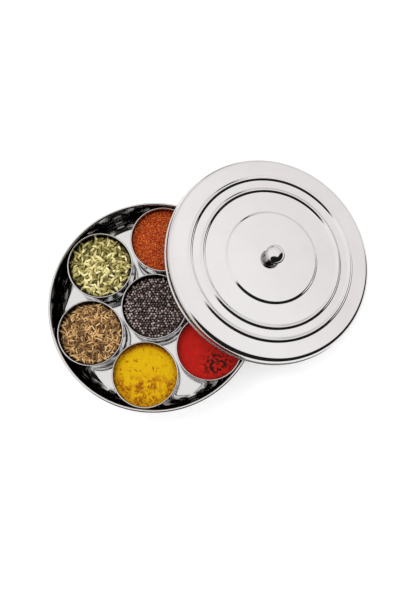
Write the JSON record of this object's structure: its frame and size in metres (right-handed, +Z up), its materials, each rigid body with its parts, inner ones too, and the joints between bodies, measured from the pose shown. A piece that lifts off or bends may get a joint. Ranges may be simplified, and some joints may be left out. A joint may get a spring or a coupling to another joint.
{
  "type": "spice box",
  "caption": "Round polished stainless steel spice box with small round cups of spice standing inside, and a ringed lid with a mushroom knob leaning on its rim.",
  "frame": {"origin": "centre of the underside of the box's flat base", "axes": "+Z up out of the box; +X to the right and +Y away from someone who faces it with the lid leaning at the right and far side"},
  "size_m": [0.3187, 0.256, 0.0676],
  "materials": {
    "box_steel": "mirror polished stainless steel, spun",
    "lid_steel": "mirror polished stainless steel, spun",
    "cup_steel": "bright polished stainless steel",
    "knob_steel": "mirror polished stainless steel, turned",
    "screw_steel": "plain stainless steel",
    "mustard": "dry black mustard seed, matt",
    "coriander": "dry coriander seed, matt",
    "chilli_flakes": "dry coarse chilli, matt",
    "fennel": "dry fennel seed, matt",
    "cumin": "dry cumin seed, matt",
    "turmeric": "dry turmeric powder, matt",
    "chilli_powder": "dry chilli powder, matt"
  },
  "bodies": {
    "box": {"box_body": "box_steel"},
    "lid": {"lid": "lid_steel", "knob": "knob_steel", "knob_screw": "screw_steel", "knob_washer": "screw_steel"},
    "cup_mustard": {"cup_mustard": "cup_steel", "fill_mustard": "mustard"},
    "cup_coriander": {"cup_coriander": "cup_steel", "fill_coriander": "coriander"},
    "cup_chilli_flakes": {"cup_chilli_flakes": "cup_steel", "fill_chilli_flakes": "chilli_flakes"},
    "cup_fennel": {"cup_fennel": "cup_steel", "fill_fennel": "fennel"},
    "cup_cumin": {"cup_cumin": "cup_steel", "fill_cumin": "cumin"},
    "cup_turmeric": {"cup_turmeric": "cup_steel", "fill_turmeric": "turmeric"},
    "cup_chilli_powder": {"cup_chilli_powder": "cup_steel", "fill_chilli_powder": "chilli_powder"}
  },
  "joints": [
    {"name": "lid_lift", "type": "slide", "parent": "box", "child": "lid", "axis": [0, 0, 1], "range_m": [0, 0.15]},
    {"name": "mustard_lift", "type": "slide", "parent": "box", "child": "cup_mustard", "axis": [0, 0, 1], "range_m": [0, 0.012]},
    {"name": "coriander_lift", "type": "slide", "parent": "box", "child": "cup_coriander", "axis": [0, 0, 1], "range_m": [0, 0.004]},
    {"name": "chilli_flakes_lift", "type": "slide", "parent": "box", "child": "cup_chilli_flakes", "axis": [0, 0, 1], "range_m": [0, 0.003]},
    {"name": "fennel_lift", "type": "slide", "parent": "box", "child": "cup_fennel", "axis": [0, 0, 1], "range_m": [0, 0.06]},
    {"name": "cumin_lift", "type": "slide", "parent": "box", "child": "cup_cumin", "axis": [0, 0, 1], "range_m": [0, 0.06]},
    {"name": "turmeric_lift", "type": "slide", "parent": "box", "child": "cup_turmeric", "axis": [0, 0, 1], "range_m": [0, 0.06]},
    {"name": "chilli_powder_lift", "type": "slide", "parent": "box", "child": "cup_chilli_powder", "axis": [0, 0, 1], "range_m": [0, 0.003]}
  ]
}
